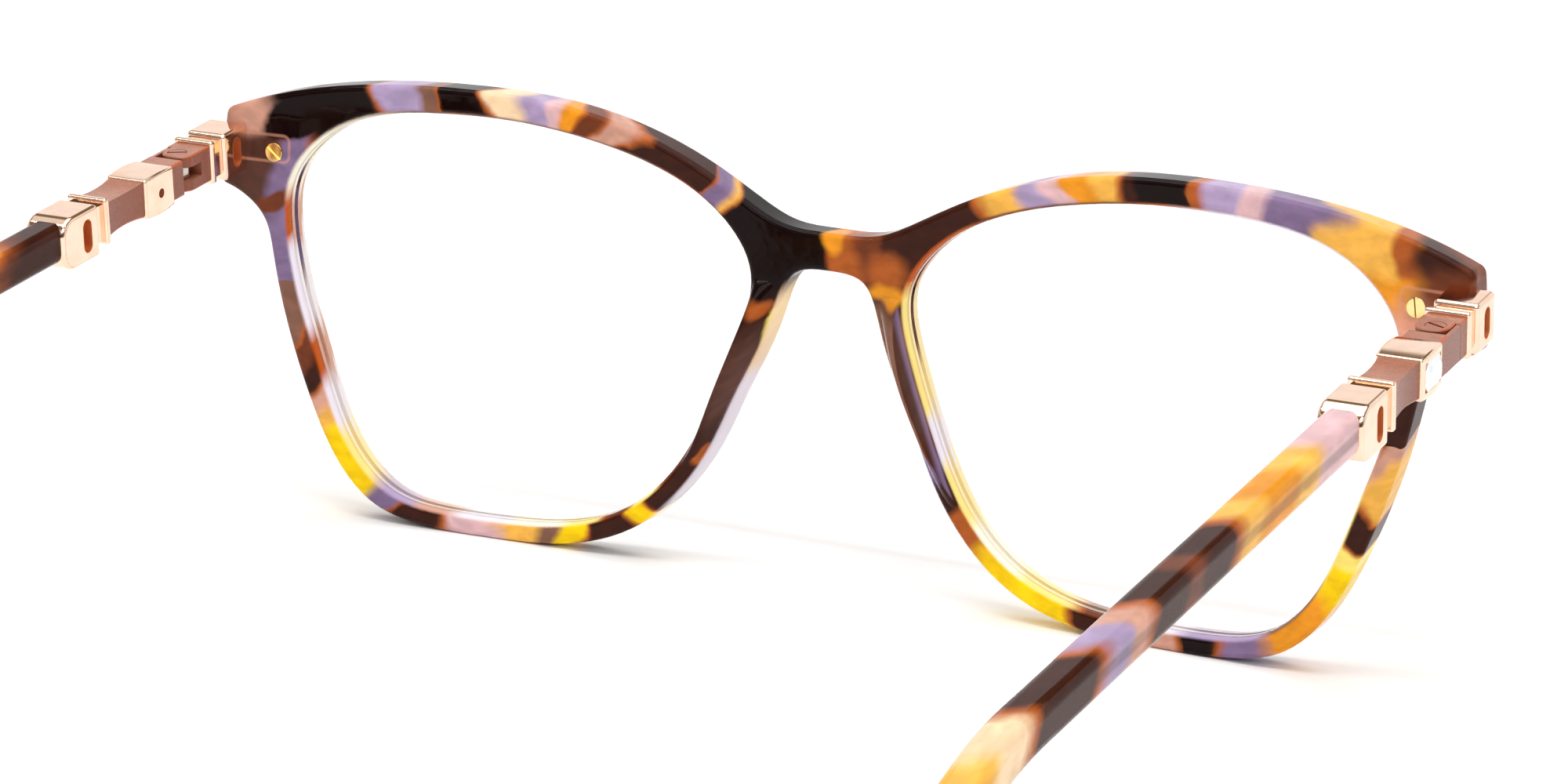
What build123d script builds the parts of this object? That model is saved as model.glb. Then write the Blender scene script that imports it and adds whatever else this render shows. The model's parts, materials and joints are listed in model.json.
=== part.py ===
from build123d import *
from math import cos, radians, sin, tan
import os

os.makedirs("parts", exist_ok=True)

# Cat-eye acetate eyeglasses frame, in millimetres.
# The glasses stand on a table: the rim bottoms and the temple tips touch z = 0.
# The front looks along -Y, the temples run along +Y and the wearer's left side is +X.
# Everything is drawn with y = 0 at the back of the bridge, then moved so that the origin
# is the middle of the footprint.

FOOTPRINT_MIDDLE = 70.6   # distance of the footprint's middle behind the back of the bridge

# ---------- front ----------
LENS_X = 35.5            # lens centre to the middle of the bridge
LENS_Z = 24.1            # lens centre above the table
MEAN_RADIUS = 24.0       # of the rim opening, for growing and shrinking its outline
FRONT_RADIUS = 880.0     # gentle wrap of the front about an upright axis
FRONT_THICK = 3.8
EDGE_ROUND = 0.6
TIP_ROUND = 1.1          # corners of the end pieces, seen from the front
RIM_LENGTH = (145, 165)  # bounds on the length of one rim opening's edge
LENS_BACK = 1.0          # depth of the lens behind the back face of the rim
LENS_THICK = 1.8
BEVEL_BACK = 1.55        # depth where the lens bevel starts
BEVEL_THICK = 0.7
BEVEL_RISE = 0.45        # how far the bevel enters the groove
FIT_GAP = 0.04

# rim opening, x from the middle of the bridge and height from the lens centre
OPENING = [
    (60.0, 0.0), (61.3, 6.6), (61.0, 11.2), (58.0, 15.6), (52.0, 18.9), (44.0, 20.1),
    (35.5, 20.2), (27.5, 19.3), (19.5, 17.3), (12.4, 13.4), (8.7, 7.8), (9.4, 2.4),
    (12.0, -4.8), (15.6, -12.4), (20.6, -17.9), (27.6, -21.1), (35.5, -22.0),
    (42.6, -22.0), (48.6, -20.9), (53.0, -17.3), (56.2, -11.2), (58.3, -5.2),
]
# brow line from the middle of the bridge to the tip of the end piece
BROW = [
    (0.0, 12.9), (5.0, 13.2), (9.3, 15.1), (14.5, 17.9), (21.0, 20.5), (28.0, 22.2),
    (35.5, 22.9), (44.0, 22.9), (53.0, 22.2), (61.5, 20.6), (68.6, 18.2),
]
# under side from the end piece round the rim to the arch of the bridge
UNDERSIDE = [
    (69.4, 10.3), (66.3, 9.0), (64.2, 6.9), (63.2, 3.6), (62.3, -0.6), (60.6, -6.4),
    (58.2, -12.6), (55.0, -18.5), (50.9, -22.3), (44.6, -23.9), (36.5, -24.1), (28.4, -23.5),
    (21.4, -21.0), (16.1, -16.6), (12.4, -11.2), (9.6, -5.0), (7.0, 0.6), (5.5, 5.0),
    (3.9, 8.2), (0.0, 9.0),
]

# ---------- nose pads ----------
PAD_CENTRE = (10.4, -4.0)
PAD_LEAN = 23.0          # degrees from upright
PAD_HALF_WIDTH = 1.25
PAD_HALF_LENGTH = 9.4
PAD_HEIGHT = 2.7         # how far it stands behind the rim
PAD_BACK = 0.05          # its flat face, just clear of the flat middle of the front

# ---------- hinge anchor in the end piece ----------
PLATE_X = (61.2, 67.6)
PLATE_Z = (13.1, 15.9)
PLATE_Y = (0.9, 1.6)
PLATE_CORNER = 0.7
SCREW_X, SCREW_Z = 62.9, 14.1
SCREW_HEAD_R, SCREW_HEAD_H = 1.0, 0.45
SCREW_SUNK = 0.25        # how deep the head sits in the acetate
SCREW_SLOT_TURN = {"left": -38.0, "right": 82.0}
SCREW_SHANK_R, SCREW_LENGTH = 0.55, 2.3
SLOT_WIDTH, SLOT_DEPTH = 0.32, 0.2
TANG_SIZE = (1.2, 1.6, 2.4)
TANG_X, TANG_Y, TANG_Z = 66.7, 2.4, 13.9

# ---------- temple assembly ----------
# Local frame of the left temple: x outward, y back along the temple, z square to both.
TEMPLE_X = 68.4
TEMPLE_Y = 8.0
TEMPLE_Z = LENS_Z + 13.8
TEMPLE_DROOP = 7.4       # degrees down toward the ear

LINK_HALF_W = 2.3
NECK_HALF = 1.85
COLLAR_THICK = 0.8
FRONT_LINK = (-5.9, -1.2)    # block of the front link along the temple
FRONT_LINK_Z = (-2.7, 2.3)
FRONT_NECK = (-1.5, 0.9)
FRONT_COLLAR = 0.5           # start of its collar
FRONT_WINDOW = (-3.6, 3.1)   # middle and height of its window
REAR_COLLAR = 20.9
REAR_COLLAR_HALF = 2.4
REAR_NECK = (21.15, 23.35)
REAR_LINK = (23.0, 29.6)
REAR_LINK_Z = (-3.0, 2.4)
REAR_ROUND = 2.0             # round end over the start of the acetate
REAR_WINDOW = (25.2, 3.4)
WINDOW_W = 1.5
LINK_ROUND = 0.45
COLLAR_ROUND = 0.3

BAR_HALF_W = 2.0
BAR_HALF_H = 1.9
BAR_WAIST = 0.22         # how far the lacquered bar draws in between its ends
BAR_BEVEL = 0.18

PIN_Y = 4.3
PIN_R = 0.6
PIN_GAP = 0.03
HEAD_R, HEAD_H = 1.0, 0.4
HEAD_GAP = 0.03
PIN_SLOT_TURN = 25.0
BLOCK_END = 3.0          # where the solid root of the front hinge half ends
KNUCKLE_END = 5.8        # end of its two knuckle plates
KNUCKLE_W = (-2.0, 1.5)
KNUCKLE_T = 1.2
KNUCKLE_ROUND = 1.45     # keeps the plates inside the swing of the bar's outer wall
KNUCKLE_BEVEL = 0.12
BAR_START = 6.5
BAR_WALL = 0.38          # outer wall of the bar beside the knuckles
BAR_WALL_START = 3.06
BAR_WALL_TRIM = 0.15         # the wall is this much lower than the bar, top and bottom
LEAF_HALF_W = 1.22
LEAF_HALF_H = 0.65
LEAF_END = 8.4

SLEEVE = (8.8, 14.2)
SLEEVE_HALF_W = 2.3
SLEEVE_HALF_H = 2.05
SLEEVE_BARREL = 0.16
SLEEVE_WALL = 0.4
SLEEVE_ROUND = 0.28
PEEP_R = 0.5                 # round hole in its inner side that shows the bar
STONE_L, STONE_H = 4.1, 2.9
STONE_SEAT = 0.25
GIRDLE_H = 0.3
STONE_TIERS = [(0.15, 35.0), (0.15, 60.0)]   # height and slope of each step of the crown

ARM_START = 28.7
ARM_HALF_W = 1.85
ARM_HALF_H = 2.0
ARM_ROUND = 1.05
SWELL_START = 96.0       # where the temple starts to grow toward its tip
BEND_START = 100.0
BEND_RADIUS = 42.0
BEND_ANGLE = 36.5
TIP_STRAIGHT = 18.42
TIP_HALF_H = 2.8
WIRE_R = 0.55
WIRE_START = 27.2
WIRE_SHORT = 8.0         # the core wire stops this far before the tip


def mirrored(points):
    """Whole outline from its +X half, which runs from the middle outward."""
    return [(-x, z) for x, z in reversed(points)] + points[1:]


def front_prism(face, depth=14.0):
    """Face drawn in x and height, run through the whole depth of the front."""
    return extrude(Plane.XZ.offset(-depth) * Pos(0, LENS_Z) * face, amount=2 * depth)


def upright(face, half):
    """Face drawn across the temple and along it, run from half below to half above."""
    return extrude(Pos(0, 0, -half) * face, amount=2 * half)


def sideways(face, half):
    """Face drawn along the temple and upward, run to half on each side."""
    return extrude(Plane.YZ.offset(-half) * face, amount=2 * half)


def front_shell(near, far):
    """Curved layer of the front, from depth near to depth far behind its back face."""
    outer = Cylinder(FRONT_RADIUS + far, 70)
    inner = Cylinder(FRONT_RADIUS + near, 80)
    return Pos(0, FRONT_RADIUS, LENS_Z) * (outer - inner)


def opening_face(grow=0.0):
    """Rim opening on the +X side, made larger all round by about grow."""
    k = 1 + grow / MEAN_RADIUS
    points = [(LENS_X + (x - LENS_X) * k, z * k) for x, z in OPENING]
    return make_face(Spline(*points, periodic=True))


def outline_face():
    brow = Spline(*mirrored(BROW))
    under = Spline(*reversed(mirrored(UNDERSIDE[::-1])))
    right = Line(BROW[-1], UNDERSIDE[0])
    left = Line((-BROW[-1][0], BROW[-1][1]), (-UNDERSIDE[0][0], UNDERSIDE[0][1]))
    face = make_face([brow, right, under, left])
    tips = [v for v in face.vertices() if abs(v.X) > LENS_X]
    return fillet(tips, TIP_ROUND)


def both_lenses(face):
    return [front_prism(face), mirror(front_prism(face), about=Plane.YZ)]


def make_front():
    body = front_prism(outline_face()) & front_shell(0, FRONT_THICK)
    outer_edges = body.edges().filter_by(lambda e: abs(e.tangent_at(0.5).Y) < 0.5)
    body = fillet(outer_edges, EDGE_ROUND)
    for hole in both_lenses(opening_face()):
        body -= hole
    rims = body.edges().filter_by(lambda e: RIM_LENGTH[0] < e.length < RIM_LENGTH[1])
    body = fillet(rims, EDGE_ROUND)
    groove = front_shell(BEVEL_BACK - FIT_GAP, BEVEL_BACK + BEVEL_THICK + FIT_GAP)
    for ring in both_lenses(opening_face(BEVEL_RISE + FIT_GAP)):
        body -= ring & groove
    return body


def make_lens():
    disc = front_prism(opening_face(-FIT_GAP)) & front_shell(LENS_BACK, LENS_BACK + LENS_THICK)
    bevel = front_shell(BEVEL_BACK, BEVEL_BACK + BEVEL_THICK)
    return disc + (front_prism(opening_face(BEVEL_RISE)) & bevel)


def make_nose_pad(front):
    egg = scale(Sphere(1), by=(PAD_HALF_WIDTH, PAD_HEIGHT, PAD_HALF_LENGTH))
    egg = Pos(PAD_CENTRE[0], PAD_BACK, LENS_Z + PAD_CENTRE[1]) * Rot(0, -PAD_LEAN, 0) * egg
    behind = Pos(0, LENS_X, LENS_Z) * Box(2 * LENS_X, 2 * LENS_X, 2 * LENS_X)
    return (egg & behind) - front


def make_anchor_plate():
    length, height = PLATE_X[1] - PLATE_X[0], PLATE_Z[1] - PLATE_Z[0]
    face = RectangleRounded(length, height, PLATE_CORNER)
    middle = (sum(PLATE_X) / 2, PLATE_Y[0], LENS_Z + sum(PLATE_Z) / 2)
    return Pos(*middle) * extrude(Plane.XZ * face, amount=PLATE_Y[0] - PLATE_Y[1])


def slotted_screw(head_r, head_h, shank_r, shank_length, slot_turn):
    """Round-headed screw along Z, with the underside of its head at the origin."""
    head = extrude(Circle(head_r), amount=head_h)
    head = fillet(head.edges().group_by(Axis.Z)[-1], head_h / 6)
    head -= Pos(0, 0, head_h) * Rot(0, 0, slot_turn) * Box(3 * head_r, SLOT_WIDTH, 2 * SLOT_DEPTH)
    return head + extrude(Circle(shank_r), amount=-shank_length)


def in_end_piece(screw):
    """Anchor screw's place, with its head sunk a little into the acetate."""
    back = SCREW_X ** 2 / (2 * FRONT_RADIUS)
    return Pos(SCREW_X, back - SCREW_SUNK, LENS_Z + SCREW_Z) * Rot(-90, 0, 0) * screw


def make_anchor_screw(side):
    turn = SCREW_SLOT_TURN[side]
    screw = slotted_screw(SCREW_HEAD_R, SCREW_HEAD_H, SCREW_SHANK_R, SCREW_LENGTH, turn)
    return in_end_piece(screw)


def anchor_screw_seat():
    """Round hole in the acetate for the anchor screw and its head."""
    hole = extrude(Circle(SCREW_HEAD_R), amount=2 * SCREW_HEAD_H)
    return in_end_piece(hole + extrude(Circle(SCREW_SHANK_R), amount=-SCREW_LENGTH))


def block(y, z, half_w, round_r):
    """Rounded block in the temple's frame, from y[0] to y[1] and z[0] to z[1]."""
    size = (2 * half_w, y[1] - y[0], z[1] - z[0])
    solid = Pos(0, sum(y) / 2, sum(z) / 2) * Box(*size)
    return fillet(solid.edges(), round_r)


def link_window(window, z_mid):
    """Upright oblong window through a link, with round ends."""
    middle, height = window
    return Pos(0, middle, z_mid) * sideways(SlotOverall(height, WINDOW_W, rotation=90), 2 * LINK_HALF_W)


def neck(y):
    """Square neck between a link and its collar."""
    return Pos(0, sum(y) / 2, 0) * Box(2 * NECK_HALF, y[1] - y[0], 2 * NECK_HALF)


def make_front_link():
    body = block(FRONT_LINK, FRONT_LINK_Z, LINK_HALF_W, LINK_ROUND)
    body -= link_window(FRONT_WINDOW, sum(FRONT_LINK_Z) / 2)
    collar = (FRONT_COLLAR, FRONT_COLLAR + COLLAR_THICK)
    return body + neck(FRONT_NECK) + block(collar, (-LINK_HALF_W, LINK_HALF_W), LINK_HALF_W, COLLAR_ROUND)


def link_tang():
    """Tang of the front link that reaches the anchor plate inside the end piece."""
    return Pos(TANG_X, TANG_Y, LENS_Z + TANG_Z) * Box(*TANG_SIZE)


def knuckle_plate(z_low):
    """One of the two plates that hold the pin, with round corners at its end."""
    overlap = 0.5
    start = BLOCK_END - overlap
    face = Rectangle(KNUCKLE_W[1] - KNUCKLE_W[0], KNUCKLE_END - start)
    face = Pos(sum(KNUCKLE_W) / 2, (start + KNUCKLE_END) / 2) * face
    face = fillet(face.vertices().group_by(Axis.Y)[-1], KNUCKLE_ROUND)
    return extrude(Pos(0, 0, z_low) * face, amount=KNUCKLE_T)


def make_hinge_block():
    start = FRONT_COLLAR + COLLAR_THICK
    root = Box(2 * BAR_HALF_W, BLOCK_END - start, 2 * BAR_HALF_H)
    body = Pos(0, (start + BLOCK_END) / 2, 0) * root
    body += knuckle_plate(BAR_HALF_H - KNUCKLE_T)
    body += knuckle_plate(-BAR_HALF_H)
    rims = body.edges().group_by(Axis.Z)
    body = chamfer(rims[-1] + rims[0], KNUCKLE_BEVEL)
    body -= Pos(0, PIN_Y, 0) * Cylinder(PIN_R, 4 * BAR_HALF_H)
    return body - Pos(0, PIN_Y, BAR_HALF_H) * Cylinder(HEAD_R + HEAD_GAP, 2 * HEAD_H)


def make_hinge_screw():
    screw = slotted_screw(HEAD_R, HEAD_H, PIN_R, 2 * BAR_HALF_H - HEAD_H, PIN_SLOT_TURN)
    return Pos(0, PIN_Y, BAR_HALF_H - HEAD_H) * screw


def make_leaf():
    tongue = Box(2 * LEAF_HALF_W, LEAF_END - PIN_Y, 2 * LEAF_HALF_H)
    leaf = Pos(0, (PIN_Y + LEAF_END) / 2, 0) * tongue
    leaf += Pos(0, PIN_Y, 0) * Cylinder(LEAF_HALF_W, 2 * LEAF_HALF_H)
    return leaf - Pos(0, PIN_Y, 0) * Cylinder(PIN_R + PIN_GAP, 4 * LEAF_HALF_H)


def bowed(y, half, bow):
    """Long face along the temple whose two sides bow out at the middle, or in if negative."""
    middle = sum(y) / 2
    sides = [
        ThreePointArc((y[0], half), (middle, half + bow), (y[1], half)),
        Line((y[1], half), (y[1], -half)),
        ThreePointArc((y[1], -half), (middle, -half - bow), (y[0], -half)),
        Line((y[0], -half), (y[0], half)),
    ]
    return make_face(sides)


def bowed_bar(y, half_w, half_h, bow):
    """Bar whose four sides bow out or in along its length."""
    plan = upright(Rot(0, 0, 90) * bowed(y, half_w, bow), 2 * half_h)
    return plan & sideways(bowed(y, half_h, bow), 2 * half_w)


def sleeve_core(length):
    """Plain bar that fills the inside of the sleeve."""
    inner_w, inner_h = SLEEVE_HALF_W - SLEEVE_WALL, SLEEVE_HALF_H - SLEEVE_WALL
    return Pos(0, sum(SLEEVE) / 2, 0) * Box(2 * inner_w, length, 2 * inner_h)


def make_bar():
    front = Box(2 * BAR_HALF_W, SLEEVE[0] - BAR_START, 2 * BAR_HALF_H)
    front = Pos(0, (BAR_START + SLEEVE[0]) / 2, 0) * front
    front = chamfer(front.edges().filter_by(Axis.Y), BAR_BEVEL)
    waist = bowed_bar((SLEEVE[1], REAR_COLLAR), BAR_HALF_W, BAR_HALF_H, -BAR_WAIST)
    long_edges = waist.edges().filter_by(lambda e: e.length > 2 * BAR_HALF_W + 1)
    bar = front + sleeve_core(SLEEVE[1] - SLEEVE[0]) + chamfer(long_edges, BAR_BEVEL)
    wall_length = BAR_START - BAR_WALL_START + BAR_WALL
    wall = Box(BAR_WALL, wall_length, 2 * (BAR_HALF_H - BAR_WALL_TRIM))
    bar += Pos(BAR_HALF_W - BAR_WALL / 2, BAR_WALL_START + wall_length / 2, 0) * wall
    return bar - make_leaf()


def make_sleeve():
    body = bowed_bar(SLEEVE, SLEEVE_HALF_W, SLEEVE_HALF_H, SLEEVE_BARREL)
    body = fillet(body.edges(), SLEEVE_ROUND) - sleeve_core(2 * (SLEEVE[1] - SLEEVE[0]))
    peep = Rot(0, 90, 0) * Cylinder(PEEP_R, SLEEVE_HALF_W)
    return body - Pos(-SLEEVE_HALF_W, sum(SLEEVE) / 2, 0) * peep


def make_stone():
    """Step-cut baguette: a girdle block and two stepped tiers above it."""
    seat = SLEEVE_HALF_W + SLEEVE_BARREL - STONE_SEAT
    start = Plane(origin=(seat, sum(SLEEVE) / 2, 0), x_dir=(0, 1, 0), z_dir=(1, 0, 0))
    stone = extrude(start * Rectangle(STONE_L, STONE_H), amount=GIRDLE_H)
    rise, inset = GIRDLE_H, 0.0
    for tier, slope in STONE_TIERS:
        step = Pos(rise, 0, 0) * (start * Rectangle(STONE_L - 2 * inset, STONE_H - 2 * inset))
        stone += extrude(step, amount=tier, taper=slope)
        rise, inset = rise + tier, inset + tier * tan(radians(slope))
    return stone


def make_rear_link():
    length, height = REAR_LINK[1] - REAR_LINK[0], REAR_LINK_Z[1] - REAR_LINK_Z[0]
    body = Pos(0, sum(REAR_LINK) / 2, sum(REAR_LINK_Z) / 2) * Box(2 * LINK_HALF_W, length, height)
    body = fillet(body.edges().filter_by(Axis.X).group_by(Axis.Y)[-1], REAR_ROUND)
    body = fillet(body.edges(), LINK_ROUND)
    body -= link_window(REAR_WINDOW, sum(REAR_LINK_Z) / 2)
    collar = (REAR_COLLAR, REAR_COLLAR + COLLAR_THICK)
    collar_z = (-REAR_COLLAR_HALF, REAR_COLLAR_HALF)
    return body + neck(REAR_NECK) + block(collar, collar_z, LINK_HALF_W, COLLAR_ROUND)


def arm_point(t, rise=0.0):
    """Point at length t along the bent temple, rise above its middle line."""
    turn = min(max(t - BEND_START, 0) / BEND_RADIUS, radians(BEND_ANGLE))
    past = max(0.0, t - BEND_START - BEND_RADIUS * turn)
    y = min(t, BEND_START) + BEND_RADIUS * sin(turn) + past * cos(turn)
    z = -BEND_RADIUS * (1 - cos(turn)) - past * sin(turn)
    return (y + rise * sin(turn), z + rise * cos(turn))


ARM_END = BEND_START + BEND_RADIUS * radians(BEND_ANGLE) + TIP_STRAIGHT


def half_height(t):
    swell = min(max((t - SWELL_START) / (ARM_END - WIRE_SHORT - SWELL_START), 0.0), 1.0)
    return ARM_HALF_H + (TIP_HALF_H - ARM_HALF_H) * swell * swell * (3 - 2 * swell)


def make_arm():
    steps = 6
    span = ARM_END - TIP_HALF_H - SWELL_START
    stops = [SWELL_START + span * i / steps for i in range(steps + 1)]
    upper = [arm_point(t, half_height(t)) for t in stops]
    lower = [arm_point(t, -half_height(t)) for t in stops]
    ends = [(1, 0), (cos(radians(BEND_ANGLE)), -sin(radians(BEND_ANGLE)))]
    start_high, start_low = (ARM_START, ARM_HALF_H), (ARM_START, -ARM_HALF_H)
    outline = [
        Line(start_high, upper[0]),
        Spline(*upper, tangents=ends),
        ThreePointArc(upper[-1], arm_point(ARM_END), lower[-1]),
        Spline(*lower, tangents=ends),
        Line(lower[0], start_low),
        Line(start_low, start_high),
    ]
    arm = sideways(make_face(outline), ARM_HALF_W)
    long_edges = arm.edges().filter_by(
        lambda e: abs(abs(e.center().X) - ARM_HALF_W) < 0.01 and e.center().Y > ARM_START + 1)
    return fillet(long_edges, ARM_ROUND)


def make_wire():
    bend_end = arm_point(BEND_START + BEND_RADIUS * radians(BEND_ANGLE))
    bend_mid = arm_point(BEND_START + BEND_RADIUS * radians(BEND_ANGLE) / 2)
    path = [
        Line((WIRE_START, 0), (BEND_START, 0)),
        ThreePointArc((BEND_START, 0), bend_mid, bend_end),
        Line(bend_end, arm_point(ARM_END - WIRE_SHORT)),
    ]
    section = Plane(origin=(0, WIRE_START, 0), z_dir=(0, 1, 0)) * Circle(WIRE_R)
    return sweep(section, path=Plane.YZ * Wire(path))


def place(part):
    """Local temple frame to the standing glasses, left side."""
    return Location((TEMPLE_X, TEMPLE_Y, TEMPLE_Z), (-TEMPLE_DROOP, 0, 0)) * part


def build_left(front):
    """All the left-hand pieces, in their place."""
    wire = make_wire()
    arm = make_arm() - wire
    sleeve, stone = make_sleeve(), make_stone()
    parts = {
        "hinge_block": place(make_hinge_block()),
        "hinge_screw": place(make_hinge_screw()),
        "hinge_leaf": place(make_leaf()),
        "temple_bar": place(make_bar()),
        "mid_sleeve": place(sleeve - stone),
        "baguette_stone": place(stone),
        "rear_link": place(make_rear_link() - make_arm() - wire),
        "temple_arm": place(arm),
        "core_wire": place(wire),
    }
    parts["anchor_screw"] = make_anchor_screw("left")
    parts["anchor_plate"] = make_anchor_plate() - anchor_screw_seat()
    parts["front_link"] = (place(make_front_link()) - front) + link_tang()
    parts["nose_pad"] = make_nose_pad(front)
    parts["demo_lens"] = make_lens()
    return parts


def main():
    front = make_front()
    left = build_left(front)
    for seat in [anchor_screw_seat(), left["anchor_plate"], link_tang()]:
        front -= seat
        front -= mirror(seat, about=Plane.YZ)
    nodes = {"front_frame": front}
    for name, part in left.items():
        nodes[name + "_left"] = part
        nodes[name + "_right"] = mirror(part, about=Plane.YZ)
    nodes["anchor_screw_right"] = mirror(make_anchor_screw("right"), about=Plane.YZ)
    for name, part in nodes.items():
        standing = Pos(0, -FOOTPRINT_MIDDLE, 0) * part
        export_step(Compound(children=standing.solids()), f"parts/{name}.step")


main()
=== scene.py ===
import json
import math
import bmesh
import bpy
from mathutils import Matrix, Vector


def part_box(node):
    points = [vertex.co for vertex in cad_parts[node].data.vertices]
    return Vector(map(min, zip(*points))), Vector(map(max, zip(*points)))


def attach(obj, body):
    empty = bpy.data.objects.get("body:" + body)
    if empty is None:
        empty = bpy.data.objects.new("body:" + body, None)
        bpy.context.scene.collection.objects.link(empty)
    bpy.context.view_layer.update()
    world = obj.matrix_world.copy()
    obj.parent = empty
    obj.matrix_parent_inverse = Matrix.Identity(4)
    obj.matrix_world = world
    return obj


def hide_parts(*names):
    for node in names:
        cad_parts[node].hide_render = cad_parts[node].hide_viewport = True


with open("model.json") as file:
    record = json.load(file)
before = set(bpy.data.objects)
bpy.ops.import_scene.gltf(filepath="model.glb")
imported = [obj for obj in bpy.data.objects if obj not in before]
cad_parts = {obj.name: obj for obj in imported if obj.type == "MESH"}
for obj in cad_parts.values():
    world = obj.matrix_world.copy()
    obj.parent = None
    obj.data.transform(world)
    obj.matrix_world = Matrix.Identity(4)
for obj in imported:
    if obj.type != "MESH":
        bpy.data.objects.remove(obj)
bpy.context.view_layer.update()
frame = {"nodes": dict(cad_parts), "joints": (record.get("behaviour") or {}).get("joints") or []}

# Looks of a cat-eye acetate eyeglasses frame that stands on a pale table with its temples open.
# Scene units are metres; patterns and small details are worked out in millimetres.
MM = 0.001
NODES = frame["nodes"]
HINGES = {joint["child"]: Vector(joint["pos_m"]) for joint in frame["joints"]}
HINGE_AXIS = Vector(frame["joints"][0]["axis"])
DROOP = math.atan2(abs(HINGE_AXIS.y), abs(HINGE_AXIS.z))
HINGE_BACK = 12.264                # mm from the back of the bridge to the hinge pins
HINGE_ALONG = 4.3                  # mm from the start of the temple's own frame to its pin
LENS_MIDDLE_X = 35.5               # mm from the middle of the bridge
LENS_MIDDLE_Z = 24.1               # mm above the table
FRONT_BEND_RADIUS = 880.0          # mm, gentle wrap of the front
FRONT_THICK = 3.8                  # mm
LENS_RADIUS = 23.0                 # mm, about the mean distance of the rim's middle from its lens centre
STONE_ALONG = 11.5                 # mm from the start of the temple's own frame to the crystal's middle
BRIDGE_BACK_Y = HINGES["temple_left"].y / MM - HINGE_BACK

# ---------- camera, from the angles at which the glasses are seen ----------
AZIMUTH = math.radians(25.36)
ELEVATION = math.radians(13.80)
ROLL = math.radians(2.08)
DISTANCE = 572.13 * MM
AIM = (-3.976 * MM, -3.268 * MM)   # of the picture's middle, across and up
FOCAL, SENSOR = 130.72, 36.0       # mm
CLIP = (0.01, 20.0)                # m


def make_camera():
    back = Vector((-math.sin(AZIMUTH) * math.cos(ELEVATION),
                   math.cos(AZIMUTH) * math.cos(ELEVATION),
                   math.sin(ELEVATION)))
    level = Vector((-math.cos(AZIMUTH), -math.sin(AZIMUTH), 0))
    rise = back.cross(level)
    right = math.cos(ROLL) * level + math.sin(ROLL) * rise
    up = math.cos(ROLL) * rise - math.sin(ROLL) * level
    middle = Vector((0, BRIDGE_BACK_Y * MM, LENS_MIDDLE_Z * MM))
    place = middle + AIM[0] * right + AIM[1] * up + DISTANCE * back
    data = bpy.data.cameras.new("camera")
    data.lens = FOCAL
    data.sensor_width = SENSOR
    data.clip_start, data.clip_end = CLIP
    camera = bpy.data.objects.new("camera", data)
    camera.matrix_world = Matrix.Translation(place) @ Matrix((right, up, back)).transposed().to_4x4()
    bpy.context.scene.collection.objects.link(camera)
    bpy.context.scene.camera = camera


# ---------- colours ----------
def srgb(*display):
    """Linear colour from 0-255 display values, by the sRGB curve."""
    shares = [value / 255 for value in display]
    linear = [v / 12.92 if v <= 0.04045 else ((v + 0.055) / 1.055) ** 2.4 for v in shares]
    return (*linear, 1.0)


TORTOISE = {
    "black": srgb(22, 9, 8),
    "dark": srgb(60, 27, 17),
    "brown": srgb(116, 58, 32),
    "taupe": srgb(134, 94, 78),
    "umber": srgb(88, 54, 44),
    "rust": srgb(178, 92, 38),
    "orange": srgb(190, 88, 30),
    "amber": srgb(234, 152, 36),
    "honey": srgb(246, 186, 82),
    "yellow": srgb(255, 212, 10),
    "lemon": srgb(255, 230, 120),
    "straw": srgb(255, 228, 138),
    "ivory": srgb(255, 246, 226),
    "pale": srgb(238, 230, 242),
    "lavender": srgb(176, 156, 192),
    "violet": srgb(132, 110, 146),
    "pink": srgb(226, 186, 190),
    "rose": srgb(210, 158, 138),
    "salmon": srgb(226, 160, 134),
    "cream": srgb(250, 218, 178),
}
DARK_COLOURS = ("black", "dark", "brown", "umber")
GLOW = "rust"                      # the warm line where a dark colour thins out toward a light one
MOST_STOPS = 32                    # that one colour ramp holds


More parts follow.
